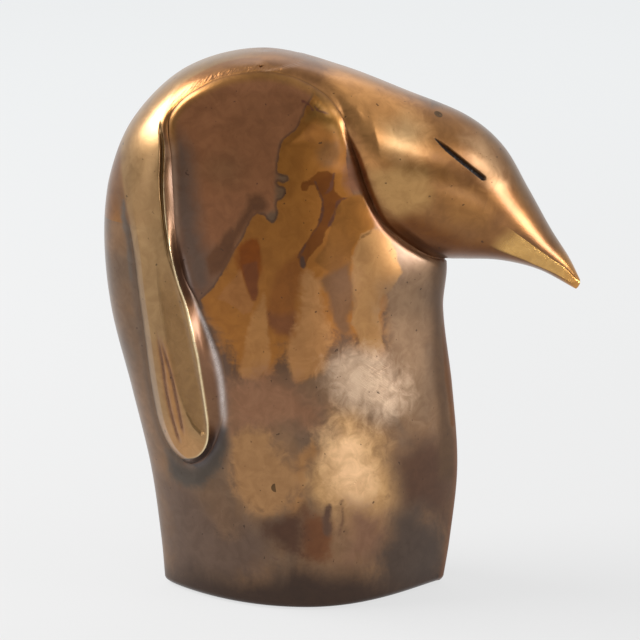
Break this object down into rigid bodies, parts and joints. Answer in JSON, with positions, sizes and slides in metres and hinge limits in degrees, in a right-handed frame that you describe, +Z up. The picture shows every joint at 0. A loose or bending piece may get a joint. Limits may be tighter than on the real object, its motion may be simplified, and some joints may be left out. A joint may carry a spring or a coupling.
{
  "type": "bronze penguin sculpture",
  "caption": "Stylised standing penguin in patinated cast bronze: bowed hooded head, long downturned beak, slit eyes, fluted flippers along the sides, lens-shaped base with felt.",
  "frame": {"origin": "middle of the felt's flat underside, on the surface the sculpture stands on, midway along the bronze base", "axes": "+Z is up and the longest extent, +X points the way the bird faces, +Y is its left side and the shortest extent"},
  "size_m": [0.1382, 0.0536, 0.1599],
  "materials": {
    "bronze_patina": "satin bronze with mottled brown, purple-brown and ochre patina",
    "bronze_polished": "satin to polished golden bronze, darker in the creases",
    "bronze_flipper": "satin bronze with polished rims and grainy cast hollows",
    "bronze_plain": "plain machined bronze",
    "steel": "zinc-plated steel",
    "felt": "matt pressed felt"
  },
  "bodies": {
    "root": {"body_shell": "bronze_patina", "hood_shell": "bronze_polished", "flipper_left": "bronze_flipper", "flipper_right": "bronze_flipper", "flipper_pin_left_upper": "bronze_plain", "flipper_pin_right_upper": "bronze_plain", "flipper_pin_left_lower": "bronze_plain", "flipper_pin_right_lower": "bronze_plain", "hood_stud": "steel", "hood_washer": "steel", "hood_nut": "steel", "hood_dowel_back": "steel", "hood_dowel_front": "steel", "core_plug_body_right": "bronze_patina", "core_plug_body_left": "bronze_patina", "core_plug_head_right": "bronze_polished", "core_plug_head_left": "bronze_polished", "base_plate": "bronze_plain", "base_screw_front": "steel", "base_screw_back": "steel", "base_screw_right": "steel", "base_screw_left": "steel", "felt_pad": "felt"}
  },
  "joints": []
}
